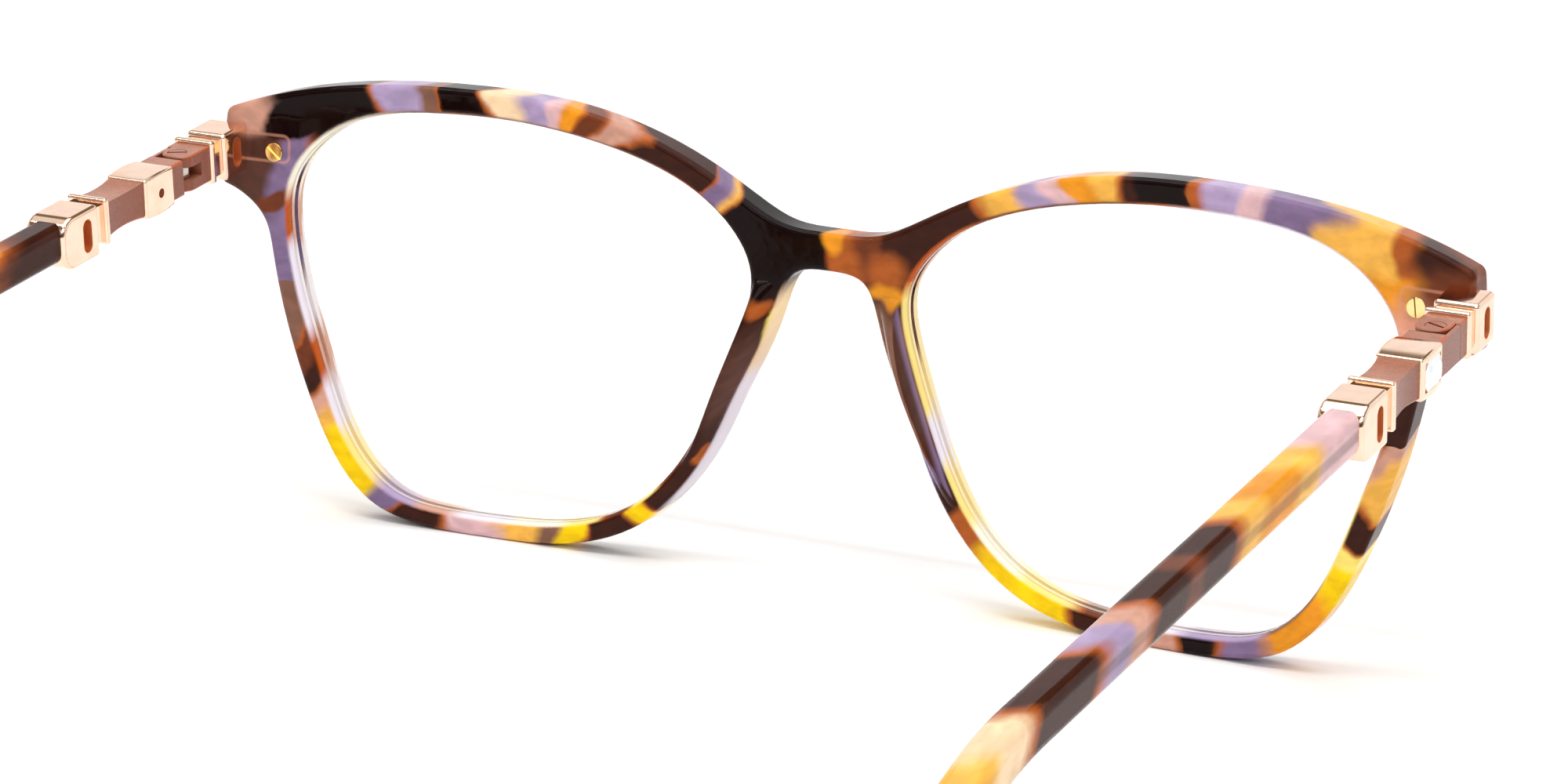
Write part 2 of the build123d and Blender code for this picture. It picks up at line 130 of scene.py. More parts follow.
# ---------- small kit for node materials ----------
class Graph:
    """Node tree of a material or a world; each method adds a node and returns its main output."""

    def __init__(self, owner):
        owner.use_nodes = True
        self.owner = owner
        self.tree = owner.node_tree
        self.tree.nodes.clear()

    def node(self, kind, **settings):
        made = self.tree.nodes.new(kind)
        for key, value in settings.items():
            setattr(made, key, value)
        return made

    def put(self, socket, value):
        if isinstance(value, bpy.types.NodeSocket):
            self.tree.links.new(value, socket)
        elif isinstance(value, (int, float)) and socket.type == "VECTOR":
            socket.default_value = (value, value, value)
        else:
            socket.default_value = value

    def math(self, operation, a, b=0.0):
        made = self.node("ShaderNodeMath", operation=operation)
        self.put(made.inputs[0], a)
        self.put(made.inputs[1], b)
        return made.outputs[0]

    def product(self, *masks):
        """Where all of the masks are."""
        whole = masks[0]
        for mask in masks[1:]:
            whole = self.math("MULTIPLY", whole, mask)
        return whole

    def vector(self, operation, a, b=0.0):
        made = self.node("ShaderNodeVectorMath", operation=operation)
        self.put(made.inputs[0], a)
        if operation == "SCALE":
            self.put(made.inputs["Scale"], b)
        else:
            self.put(made.inputs[1], b)
        return made.outputs["Value" if operation in ("LENGTH", "DOT_PRODUCT") else "Vector"]

    def split(self, vector):
        made = self.node("ShaderNodeSeparateXYZ")
        self.put(made.inputs[0], vector)
        return made.outputs

    def join(self, x, y, z):
        made = self.node("ShaderNodeCombineXYZ")
        for socket, value in zip(made.inputs, (x, y, z)):
            self.put(socket, value)
        return made.outputs[0]

    def noise(self, where, scale, detail=2.0, colour=False):
        made = self.node("ShaderNodeTexNoise", noise_dimensions="3D")
        self.put(made.inputs["Vector"], where)
        made.inputs["Scale"].default_value = scale
        made.inputs["Detail"].default_value = detail
        return made.outputs["Color" if colour else "Fac"]

    def smooth(self, value, low, high, to_low=0.0, to_high=1.0):
        """Soft step from to_low, where value is low, to to_high, where it is high."""
        made = self.node("ShaderNodeMapRange", interpolation_type="SMOOTHSTEP")
        self.put(made.inputs["Value"], value)
        made.inputs["From Min"].default_value = low
        made.inputs["From Max"].default_value = high
        made.inputs["To Min"].default_value = to_low
        made.inputs["To Max"].default_value = to_high
        return made.outputs["Result"]

    def mix(self, fac, a, b, blend="MIX"):
        made = self.node("ShaderNodeMix", data_type="RGBA", blend_type=blend)
        colour_a, colour_b = (socket for socket in made.inputs if socket.type == "RGBA")
        self.put(made.inputs["Factor"], fac)
        self.put(colour_a, a)
        self.put(colour_b, b)
        return next(socket for socket in made.outputs if socket.type == "RGBA")

    def bump(self, height, strength, distance):
        made = self.node("ShaderNodeBump")
        self.put(made.inputs["Height"], height)
        made.inputs["Strength"].default_value = strength
        made.inputs["Distance"].default_value = distance
        return made.outputs["Normal"]

    def surface(self, **inputs):
        """Principled surface; names use _ for a space."""
        made = self.node("ShaderNodeBsdfPrincipled")
        for key, value in inputs.items():
            self.put(made.inputs[key.replace("_", " ")], value)
        out = self.node("ShaderNodeOutputMaterial")
        self.tree.links.new(made.outputs[0], out.inputs["Surface"])
        return self.owner

    def place_mm(self, origin_mm, turn_x=0.0):
        """Object position in millimetres from origin_mm, turned about X."""
        where = self.node("ShaderNodeTexCoord").outputs["Object"]
        where = self.vector("SCALE", where, 1 / MM)
        where = self.vector("SUBTRACT", where, tuple(origin_mm))
        if not turn_x:
            return where
        turn = self.node("ShaderNodeMapping", vector_type="POINT")
        self.put(turn.inputs["Vector"], where)
        turn.inputs["Rotation"].default_value = (turn_x, 0, 0)
        return turn.outputs[0]


def new_material(name):
    return Graph(bpy.data.materials.new(name))


# ---------- tortoiseshell acetate ----------
# Bands of colour round each rim, by the angle about its lens centre: 0 outward, 90 up, 180 at the nose.
# Each band: colour, first and last angle. Between two bands the colours blend.
LEFT_UPPER = [
    ("taupe", 0, 1), ("violet", 3, 20), ("black", 34, 54), ("lavender", 56, 62), ("taupe", 64, 67),
    ("black", 69, 78), ("cream", 81, 87), ("lavender", 91, 98), ("pink", 100, 103), ("amber", 105, 109),
    ("brown", 111, 115), ("rose", 117, 122), ("dark", 125, 139), ("violet", 141, 146), ("honey", 148, 149),
    ("black", 150, 168), ("dark", 170, 180)]
LEFT_LOWER = [
    ("taupe", 1, -4), ("brown", -7, -13), ("dark", -16, -23), ("rose", -26, -29), ("honey", -34, -36),
    ("yellow", -38, -52), ("violet", -55, -61), ("dark", -63, -72), ("pink", -75, -84), ("honey", -90, -99),
    ("taupe", -102, -105), ("yellow", -107, -112), ("dark", -114, -124), ("yellow", -126, -131),
    ("dark", -133, -180)]
RIGHT_UPPER = [
    ("dark", 0, 12), ("rose", 16, 31), ("amber", 37, 41), ("honey", 43, 46), ("violet", 48, 61),
    ("pink", 64, 69), ("lavender", 71, 78), ("rust", 79.5, 81), ("black", 83, 97), ("dark", 99, 101),
    ("honey", 104, 108), ("amber", 110, 116), ("pink", 118, 121), ("lavender", 123, 127),
    ("honey", 130, 134), ("dark", 139, 180)]
RIGHT_LOWER = [
    ("dark", 0, -4), ("rose", -6, -8), ("honey", -10, -13), ("dark", -16, -24), ("lemon", -27, -31),
    ("yellow", -34, -42), ("amber", -46, -59), ("violet", -62, -66), ("black", -69, -76), ("rose", -79, -85),
    ("honey", -87, -89), ("dark", -92, -107), ("yellow", -110, -127), ("rust", -136, -143),
    ("dark", -149, -158), ("brown", -164, -180)]
# Patches laid over the bands: colour, middle across and up (mm), half sizes (mm), turn (degrees), softness.
# Across and up are measured from the middle of the bridge and from the lens centres.
FRONT_PATCHES = [
    # left end piece
    ("umber", 67, 12.5, 5.5, 6, 0, 0.5),
    ("rose", 65.4, 17.4, 3.4, 1.7, 25, 0.8),
    ("violet", 61.6, 12.4, 1.9, 5, -22, 0.7),
    ("brown", 63.4, 8.8, 2.6, 0.9, 20, 0.6),
    ("brown", 60.6, 5.4, 1.1, 1.5, 10, 0.6),
    ("black", 60, 18.6, 5, 2.4, 30, 0.2),
    # bridge
    ("black", 4.6, 11.6, 5.2, 5, 0, 0.2),
    ("rust", -2, 11, 2.3, 5, 6, 0.4),
    ("amber", -0.6, 12.4, 1.2, 1.4, 0, 0.8),
    ("brown", -5, 11.4, 1.9, 4, 10, 0.8),
    ("dark", -8.4, 12.4, 2.2, 4, -20, 0.6),
    ("rust", -6.8, 9.4, 2.4, 2, 0, 1.0),
    ("amber", -7, 7.2, 2.4, 0.9, 0, 0.9),
    # right and left nose sides
    ("taupe", -7.4, 2.2, 2.6, 4, 10, 0.6),
    ("taupe", -10, -4, 1.6, 4.4, 18, 0.8),
    ("violet", -12, -9, 1.2, 2.2, 24, 0.7),
    ("lemon", 6.6, 1, 0.7, 4.2, -20, 0.6),
    ("pink", 8.8, -8, 0.8, 3.6, -22, 0.6),
    ("rust", 7.2, 5.2, 1.4, 0.8, -20, 1.0),
    ("umber", 9.8, -2.4, 2.6, 5.4, -22, 0.9),
    ("rust", 13.2, -11.8, 1.4, 0.6, 50, 0.7),
    # right end piece
    ("rust", -61.6, 18.6, 1.6, 2.6, 20, 0.6),
    ("dark", -66.4, 19, 4.4, 2.4, 14, 0.5),
    ("brown", -66, 15, 3.4, 3, 0, 0.6),
    ("salmon", -62.4, 10.8, 3, 3.6, 0, 1.0),
]
# Bands of the walls that face the lenses, all the way round. Light passes the thin wall, so they are paler.
LEFT_WALL = [
    ("dark", 180, 150), ("taupe", 130, 60), ("ivory", 34, 22), ("orange", 18, 11), ("pale", 8, -9),
    ("orange", -14, -22), ("pale", -27, -36), ("straw", -41, -50), ("lavender", -55, -62),
    ("rose", -66, -74), ("pale", -78, -88), ("ivory", -92, -104), ("straw", -108, -116),
    ("brown", -120, -126), ("straw", -129, -135), ("brown", -140, -180)]
RIGHT_WALL = [
    ("straw", 180, 166), ("orange", 161, 150), ("brown", 140, 100), ("pale", 70, 40), ("rose", 20, -8),
    ("straw", -16, -36), ("taupe", -42, -55), ("lavender", -60, -74), ("pale", -80, -90),
    ("brown", -95, -104), ("straw", -109, -122), ("ivory", -126, -138), ("straw", -142, -154),
    ("pale", -158, -167), ("straw", -171, -180)]
# Bands along each temple: colour, first and last distance from its start in mm.
LEFT_TEMPLE = [
    ("dark", 28, 35), ("brown", 37, 38.5), ("honey", 40.5, 43), ("dark", 46, 54), ("rose", 57, 60),
    ("lavender", 62, 66), ("dark", 69, 78), ("amber", 81, 85), ("yellow", 88, 93), ("brown", 96, 100),
    ("rose", 103, 106), ("dark", 109, 117), ("honey", 120, 125), ("lavender", 127, 130), ("dark", 132, 145)]
RIGHT_TEMPLE = [
    ("pink", 28, 39), ("honey", 42, 45), ("amber", 47, 53), ("honey", 55, 58), ("dark", 62, 66),
    ("brown", 68, 70), ("dark", 72, 78), ("rose", 81, 83.5), ("lavender", 85, 87.5), ("dark", 91, 101),
    ("cream", 105, 109), ("honey", 111, 117), ("yellow", 119, 123), ("dark", 127, 132),
    ("lavender", 134, 137), ("brown", 139, 145)]
BAND_LEAN = 11.0                     # degrees of angle per mm across the rim, at most
LEAN_REACH = 2.2                     # mm each side of the rim's middle
LEAN_FREQUENCY = 0.09                # per mm, how often the lean changes
WARPS = [(0.13, 2.6, 1.0), (0.45, 1.0, 1.5), (1.6, 0.16, 2.0)]    # frequency per mm, reach in mm, detail
GLOW_SHARE = 0.4                     # of the way from the dark band to the light one
STREAK_STRETCH, STREAK_FREQUENCY = (0.6, 0.35, 1.2), 0.6
STREAK_RANGE, STREAK_SHADES = (0.3, 0.75), (0.84, 1.1)
FRONT_SEED = 3.0
LAYER_SLOPE = 0.7                    # mm up per mm of depth at which the colours run through the sheet

# Soft steps on the front, each from nothing to all. Facing is the cosine between a wall and the direction
# away from the lens centre. Depths are in mm: 0 at the back face, -FRONT_THICK at the front face.
BACK_DEPTH = (-1.5, -0.5)
WALL_FACING, WALL_DEPTH = (-0.25, -0.55), (0.05, -0.25)
GROOVE_FACING, GROOVE_START = (0.4, 0.2), (-0.4, -0.7)
GROOVE_STOP = (0.35 - FRONT_THICK, 0.65 - FRONT_THICK)
GROOVE_NEAR, GROOVE_FAR = (9.0, 10.0), (61.0, 60.0)      # mm from the middle of the bridge
# painted reflection of the lens: depths where the wall in front of it is paled toward ivory, and how much
LENS_REFLECTION_DEPTH, LENS_REFLECTION_MOST = (-1.7, -2.1), 0.35
# painted shade: depths of the brown line along the lens walls' front edge, and its strength
FRONT_EDGE_SHADE_DEPTH, FRONT_EDGE_SHADE_MOST = (0.45 - FRONT_THICK, 0.25 - FRONT_THICK), 0.6
# painted highlight on the walls that rest against the nose: facing, depth, reach, height, strength and tone
# height
NOSE_FACING, NOSE_DEPTH, NOSE_REACH = (0.35, 0.75), (0.05, -0.3), (20.0, 15.0)
NOSE_HEIGHT, NOSE_HIGHLIGHT_MOST, NOSE_HIGHLIGHT_TONE_HEIGHT = (8.0, 5.0), 0.8, (-1.0, -4.0)
FIN_FACING, FIN_DEPTH, FIN_MOST, FIN_TONE_DEPTH = (-0.5, -0.8), (0.15, 0.5), 0.8, (1.5, 0.4)
PLATE_CORNER = 0.7                   # mm, corner radius of the anchor plates
PLATE_LINE, PLATE_MOST = (0.26, 0.04), 0.45              # mm each side of the line, its strength


def warped(graph, where, seed):
    """Position pushed about by soft noise, so that the edges of the colours wander as in cast acetate."""
    for frequency, reach, detail in WARPS:
        lost = graph.vector("ADD", where, (seed, seed * 0.7, -seed))
        push = graph.noise(lost, frequency, detail, colour=True)
        push = graph.vector("SUBTRACT", push, (0.5, 0.5, 0.5))
        where = graph.vector("ADD", where, graph.vector("SCALE", push, reach))
    return where


def band_stops(bands):
    """Places and colours along a ramp, with a warm line between each dark and light band."""
    spans = sorted((min(ends), max(ends), name) for name, *ends in bands)
    stops = []
    for first, last, name in spans:
        narrow = last - first < 2
        stops += [((first + last) / 2, name)] if narrow else [(first, name), (last, name)]
    for (_, left, one), (right, _, other) in zip(spans, spans[1:]):
        if (one in DARK_COLOURS) != (other in DARK_COLOURS):
            share = GLOW_SHARE if one in DARK_COLOURS else 1 - GLOW_SHARE
            stops.append((left + (right - left) * share, GLOW))
    return sorted(stops)


def banded(graph, value, bands, low, high):
    """Colour of the band that value falls in. A long list takes two ramps that share a stop."""
    place = graph.math("DIVIDE", graph.math("SUBTRACT", value, low), high - low)
    stops = band_stops(bands)
    colour = None
    for first in range(0, len(stops) - 1, MOST_STOPS - 1):
        made = graph.node("ShaderNodeValToRGB")
        graph.put(made.inputs[0], place)
        elements = made.color_ramp.elements
        part = stops[first:first + MOST_STOPS]
        while len(elements) < len(part):
            elements.new(1.0)
        for element, (edge, name) in zip(elements, part):
            element.position = min(max((edge - low) / (high - low), 0.0), 1.0)
            element.color = TORTOISE[name]
        past = graph.math("GREATER_THAN", value, part[0][0])
        colour = graph.mix(past, colour, made.outputs[0]) if colour else made.outputs[0]
    return colour


def patch_mask(graph, where, middle, half, turn, soft):
    """1 inside a turned ellipse of the plane across and up, 0 outside."""
    local = graph.node("ShaderNodeMapping", vector_type="TEXTURE")
    graph.put(local.inputs["Vector"], where)
    local.inputs["Location"].default_value = (middle[0], 0, middle[1])
    local.inputs["Rotation"].default_value = (0, math.radians(turn), 0)
    local.inputs["Scale"].default_value = (half[0], 1000, half[1])
    far = graph.vector("LENGTH", local.outputs[0])
    return graph.smooth(far, 1 + soft * 0.5, 1 - soft * 0.5)


def streaked(graph, wander, colour):
    """The same colour with the fine light and dark streaks of brushed-out pigment."""
    streak = graph.noise(graph.vector("MULTIPLY", wander, STREAK_STRETCH), STREAK_FREQUENCY)
    shade = graph.smooth(streak, *STREAK_RANGE, *STREAK_SHADES)
    return graph.mix(1.0, colour, graph.join(shade, shade, shade), "MULTIPLY")


def lens_angle(graph, place):
    """Angle about the nearer lens centre in degrees, and the direction away from that centre."""
    x, _, z = graph.split(place)
    across = graph.math("SUBTRACT", graph.math("ABSOLUTE", x), LENS_MIDDLE_X)
    angle = graph.math("DEGREES", graph.math("ARCTAN2", z, across))
    return angle, graph.join(across, 0.0, z)


def slanted_angle(graph, place):
    """The same angle, but leaning one way or the other across the rim, so that the bands run diagonally."""
    angle, away = lens_angle(graph, place)
    beyond = graph.math("SUBTRACT", graph.vector("LENGTH", away), LENS_RADIUS)
    beyond = graph.math("MAXIMUM", graph.math("MINIMUM", beyond, LEAN_REACH), -LEAN_REACH)
    lean = graph.math("SUBTRACT", graph.noise(place, LEAN_FREQUENCY, 0.0), 0.5)
    return graph.math("ADD", angle, graph.product(lean, BAND_LEAN, beyond))


def by_side(graph, place, left, right):
    is_left = graph.math("GREATER_THAN", graph.split(place)[0], 0.0)
    return graph.mix(is_left, right, left)


def rim_colour(graph, wander):
    """Bands round the left and the right rim, by angle about the nearer lens centre."""
    angle = slanted_angle(graph, wander)
    is_upper = graph.math("GREATER_THAN", graph.split(wander)[2], 0.0)
    sides = []
    for upper, lower in ((LEFT_UPPER, LEFT_LOWER), (RIGHT_UPPER, RIGHT_LOWER)):
        low, high = banded(graph, angle, lower, -180, 0), banded(graph, angle, upper, 0, 180)
        sides.append(graph.mix(is_upper, low, high))
    return by_side(graph, wander, *sides)


def wall_colour(graph, wander):
    """Bands of the walls that face the lenses."""
    angle, _ = lens_angle(graph, wander)
    walls = [banded(graph, angle, bands, -180, 180) for bands in (LEFT_WALL, RIGHT_WALL)]
    return by_side(graph, wander, *walls)


def lens_facing(graph, where):
    """From -1 on a wall that faces the nearer lens centre to 1 on one that faces away from it."""
    _, away = lens_angle(graph, where)
    nx, ny, nz = graph.split(graph.node("ShaderNodeTexCoord").outputs["Normal"])
    nx = graph.math("MULTIPLY", nx, graph.math("SIGN", graph.split(where)[0]))
    return graph.vector("DOT_PRODUCT", graph.join(nx, ny, nz), graph.vector("NORMALIZE", away))


def plate_outline(graph, where, side):
    """Line with round corners about the metal plate that shows faintly through the acetate."""
    low, high = (Vector(corner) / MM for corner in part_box("anchor_plate_" + side))
    x, _, z = graph.split(where)
    beyond = []
    for value, a, b in ((x, low.x, high.x), (z, low.z - LENS_MIDDLE_Z, high.z - LENS_MIDDLE_Z)):
        off = graph.math("ABSOLUTE", graph.math("SUBTRACT", value, (a + b) / 2))
        past = graph.math("SUBTRACT", off, (b - a) / 2 - PLATE_CORNER)
        beyond.append(graph.math("MAXIMUM", past, 0.0))
    corner = graph.vector("LENGTH", graph.join(*beyond, 0.0))
    return graph.smooth(graph.math("ABSOLUTE", graph.math("SUBTRACT", corner, PLATE_CORNER)), *PLATE_LINE)


def lens_wall(graph, where, wander, facing, deep):
    """Where the walls about the lens and its groove are, and their colour: the wall bands with their painted
    glow, paled toward ivory in front of the lens as a painted reflection of the lens, with a painted shade
    line in brown along the front edge.
    """
    out = graph.math("ABSOLUTE", graph.split(where)[0])
    wall = graph.product(graph.smooth(facing, *WALL_FACING), graph.smooth(deep, *WALL_DEPTH))
    groove = graph.product(
        graph.smooth(facing, *GROOVE_FACING), graph.smooth(deep, *GROOVE_START),
        graph.smooth(deep, *GROOVE_STOP), graph.smooth(out, *GROOVE_NEAR), graph.smooth(out, *GROOVE_FAR))
    # painted reflection of the lens: the wall in front of the lens is paled toward ivory
    lens_reflection = graph.smooth(deep, *LENS_REFLECTION_DEPTH, 0.0, LENS_REFLECTION_MOST)
    tone = graph.mix(lens_reflection, wall_colour(graph, wander), TORTOISE["ivory"])
    # painted shade: a thin brown line along the wall's front edge
    front_edge_shade = graph.smooth(deep, *FRONT_EDGE_SHADE_DEPTH, 0.0, FRONT_EDGE_SHADE_MOST)
    return graph.math("MAXIMUM", wall, groove), graph.mix(front_edge_shade, tone, TORTOISE["brown"])


def nose_wall_highlight(graph, where, facing, deep):
    """Where the walls that rest against the nose are, and the colour of the painted highlight on them, cream
    above and pale lower down.
    """
    x, _, z = graph.split(where)
    wall = graph.product(
        graph.smooth(facing, *NOSE_FACING), graph.smooth(deep, *NOSE_DEPTH),
        graph.smooth(graph.math("ABSOLUTE", x), *NOSE_REACH), graph.smooth(z, *NOSE_HEIGHT, 0.0, NOSE_HIGHLIGHT_MOST))
    return wall, graph.mix(graph.smooth(z, *NOSE_HIGHLIGHT_TONE_HEIGHT), TORTOISE["cream"], TORTOISE["pale"])


def fin_side(graph, facing, deep):
    """Where the lens sides of the nose fins are, and their colour, darker toward the ridge."""
    side = graph.product(graph.smooth(deep, *FIN_DEPTH), graph.smooth(facing, *FIN_FACING, 0.0, FIN_MOST))
    return side, graph.mix(graph.smooth(deep, *FIN_TONE_DEPTH), TORTOISE["dark"], TORTOISE["violet"])


RIPPLE_FREQUENCY, RIPPLE_BUMP = 0.35, (0.03, 0.0006)     # per mm; strength and height in m
HAZE_NOISE, HAZE_RANGE, HAZE_ROUGHNESS = (2.5, 4.0), (0.35, 0.7), (0.03, 0.08)
PLASTIC_IOR = 1.5
ACETATE_GLARE = 0.1                  # low, so that the dark colours stay deep under a white studio
ACETATE_DEPTHS = (0.0014, 0.0009, 0.0006)    # m that red, green and blue light reach


def acetate_finish(graph, where, colour):
    """Hand-polished acetate: deep gloss with a faint ripple and very fine haze."""
    ripple = graph.noise(where, RIPPLE_FREQUENCY)
    haze = graph.smooth(graph.noise(where, *HAZE_NOISE), *HAZE_RANGE, *HAZE_ROUGHNESS)
    return graph.surface(
        Base_Color=colour, Roughness=haze, IOR=PLASTIC_IOR, Specular_IOR_Level=ACETATE_GLARE,
        Normal=graph.bump(ripple, *RIPPLE_BUMP),
        Subsurface_Weight=0.25, Subsurface_Radius=ACETATE_DEPTHS, Subsurface_Scale=1.0)


def acetate_front():
    """Tortoiseshell of the front and its nose fins: bands, patches, streaks and paler walls, paled by
    painted glow, painted reflection of the lenses and a painted highlight, with a painted shade line along
    the lens walls' front edge.
    """
    graph = new_material("acetate_front")
    where = graph.place_mm((0, BRIDGE_BACK_Y, LENS_MIDDLE_Z))
    x, y, z = graph.split(where)
    bow = graph.product(x, x, 1 / (2 * FRONT_BEND_RADIUS))
    deep = graph.math("SUBTRACT", y, bow)
    slanted = graph.join(x, 0.0, graph.math("ADD", z, graph.math("MULTIPLY", deep, LAYER_SLOPE)))
    wander = warped(graph, slanted, FRONT_SEED)
    colour = rim_colour(graph, wander)
    for name, across, up, half_a, half_u, turn, soft in FRONT_PATCHES:
        mask = patch_mask(graph, wander, (across, up), (half_a, half_u), turn, soft)
        colour = graph.mix(mask, colour, TORTOISE[name])
    for side in ("left", "right"):
        line, at_back = plate_outline(graph, where, side), graph.smooth(deep, *BACK_DEPTH)
        colour = graph.mix(graph.product(line, at_back, PLATE_MOST), colour, TORTOISE["salmon"])
    colour = streaked(graph, wander, colour)
    facing = lens_facing(graph, where)
    for mask, tone in (lens_wall(graph, where, wander, facing, deep),
                       nose_wall_highlight(graph, where, facing, deep),
                       fin_side(graph, facing, deep)):
        colour = graph.mix(mask, colour, tone)
    return acetate_finish(graph, where, colour)


def temple_place(graph, side):
    """Position in the temple's own frame, in mm: outward, along and square to both."""
    hinge = HINGES["temple_" + side] / MM
    start = hinge - HINGE_ALONG * Vector((0, math.cos(DROOP), -math.sin(DROOP)))
    where = graph.place_mm(start, DROOP)
    x, y, z = graph.split(where)
    out = x if side == "left" else graph.math("MULTIPLY", x, -1.0)
    return graph.join(out, y, z)


TEMPLE_RANGE = (20, 145)              # mm along, which the bands of a temple cover
TEMPLE_LEAN = 0.8                     # mm along per mm across or up
CORE_UP, CORE_EDGE, CORE_MOST = 0.1, (0.8, 0.25), 0.4    # the wire's shadow: mm, mm, strength
CORE_STOP = (100, 96)                 # mm along, at the bend


def acetate_temple(side, bands, seed):
    """Tortoiseshell of a temple, with the wire inside showing as a faint dark line."""
    graph = new_material("acetate_temple_" + side)
    where = temple_place(graph, side)
    wander = warped(graph, where, seed)
    x, y, z = graph.split(wander)
    lean = graph.math("ADD", y, graph.math("MULTIPLY", graph.math("ADD", x, z), TEMPLE_LEAN))
    colour = streaked(graph, wander, banded(graph, lean, bands, *TEMPLE_RANGE))
    off = graph.math("ABSOLUTE", graph.math("SUBTRACT", graph.split(where)[2], CORE_UP))
    core = graph.product(graph.smooth(off, *CORE_EDGE, 0.0, CORE_MOST), graph.smooth(y, *CORE_STOP))
    colour = graph.mix(core, colour, TORTOISE["dark"])
    return acetate_finish(graph, where, colour)


# ---------- metals, stone and lenses ----------
LINK_WINDOWS = ((-3.6, -0.2, 3.1), (25.2, -0.3, 3.4))    # mm along the temple, up from its middle, height
WINDOW_HALF = 0.75                    # mm, half their width
WINDOW_EDGE = (0.12, 0.04)            # mm past the walls
# painted shade: the deeper orange tone of the walls inside the windows; the dullness is their roughness
WINDOW_SHADE_TONE, WINDOW_DULL = srgb(244, 172, 118), 0.4
METALS = {                            # tone, deeper tone, roughness
    "rose_gold": (srgb(255, 222, 198), srgb(252, 212, 186), 0.08),
    "rose_gold_links": (srgb(255, 222, 198), srgb(252, 212, 186), 0.08),
    "yellow_gold": (srgb(244, 222, 156), srgb(230, 196, 120), 0.14),
    "steel": (srgb(226, 218, 208), srgb(200, 190, 180), 0.2),
    "core_steel": (srgb(150, 146, 142), srgb(120, 116, 112), 0.3),
}
CLOUD_NOISE, CLOUD_RANGE = (0.5, 3.0), (0.35, 0.7)       # of the metals' tone
POLISH_STRETCH = (14.0, 1.2, 14.0)    # polishing lines run along the temples
POLISH_RANGE, POLISH_SPREAD = (0.3, 0.7), (-0.04, 0.03)  # of their noise, and of roughness about its mean
POLISH_BUMP = (0.02, 0.00001)         # strength, height in m
# painted light and shade: the first tone is for faces that point down, the second, lighter one for faces
# that point up; the third is the lacquer's own uneven tone
LACQUER_SHADED, LACQUER_LIT_TOP, LACQUER_CLOUD = srgb(128, 62, 40), srgb(170, 108, 82), srgb(146, 84, 60)
# painted highlight: the orange of the bevelled edges
BEVEL_HIGHLIGHT = srgb(196, 92, 50)
BEVEL_RANGE = (0.2, 0.4)              # of the product of its normal's two parts, which only a bevel has
LACQUER_LIT_RANGE = (-0.3, 0.6)       # of the normal's upward part
LACQUER_CLOUD_NOISE, LACQUER_CLOUD_RANGE, LACQUER_CLOUD_MOST = (0.8, 3.0), (0.4, 0.6), 0.4
SPECK_FREQUENCY, SPECK_RANGE, SPECK_ROUGHNESS = 9.0, (0.3, 0.7), (0.2, 0.3)
SPECK_BUMP = (0.04, 0.00003)
STONE_CLOUD_FREQUENCY, STONE_CLOUD_RANGE = 1.2, (0.4, 0.6)
STONE_TONES = (srgb(240, 246, 250), srgb(255, 255, 255))
LENS_TONES = (srgb(250, 252, 255), srgb(244, 250, 250))
LENS_FACE = (0.9, 0.97)               # of the normal's part along the lens axis
LENS_SHEEN_BLEND, LENS_SHEEN_RANGE, LENS_SHEEN = 0.25, (0.3, 1.0), (0.01, 0.5)
# painted reflection of the lens: share by which its edge is paled toward ivory
LENS_EDGE_REFLECTION_SHARE = 0.3


def window_walls(graph):
    """Inner walls of the windows in the links of both temples."""
    _, along, up = graph.split(temple_place(graph, "left"))
    inside = 0.0
    for middle, height_at, height in LINK_WINDOWS:
        across = graph.math("SUBTRACT", along, middle)
        above = graph.math("ABSOLUTE", graph.math("SUBTRACT", up, height_at))
        above = graph.math("MAXIMUM", graph.math("SUBTRACT", above, height / 2 - WINDOW_HALF), 0.0)
        off = graph.vector("LENGTH", graph.join(across, above, 0.0))
        wall = graph.smooth(off, *(WINDOW_HALF + edge for edge in WINDOW_EDGE))
        inside = graph.math("MAXIMUM", inside, wall)
    return inside


def polished_metal(name):
    """Plated metal: polished, with faint polishing lines and a slightly uneven tone."""
    colour, deep, roughness = METALS[name]
    graph = new_material(name)
    where = graph.place_mm((0, 0, 0))
    tone = graph.mix(graph.smooth(graph.noise(where, *CLOUD_NOISE), *CLOUD_RANGE), colour, deep)
    lines = graph.noise(graph.vector("MULTIPLY", where, POLISH_STRETCH), 1.0)
    rough = graph.smooth(lines, *POLISH_RANGE, *(roughness + spread for spread in POLISH_SPREAD))
    if name == "rose_gold_links":
        inside = window_walls(graph)
        # painted shade: the walls inside the windows take a deeper orange tone
        tone = graph.mix(inside, tone, WINDOW_SHADE_TONE)
        rough = graph.math("ADD", rough, graph.math("MULTIPLY", inside, WINDOW_DULL))
    return graph.surface(Base_Color=tone, Metallic=1.0, Roughness=rough,
                         Normal=graph.bump(lines, *POLISH_BUMP))


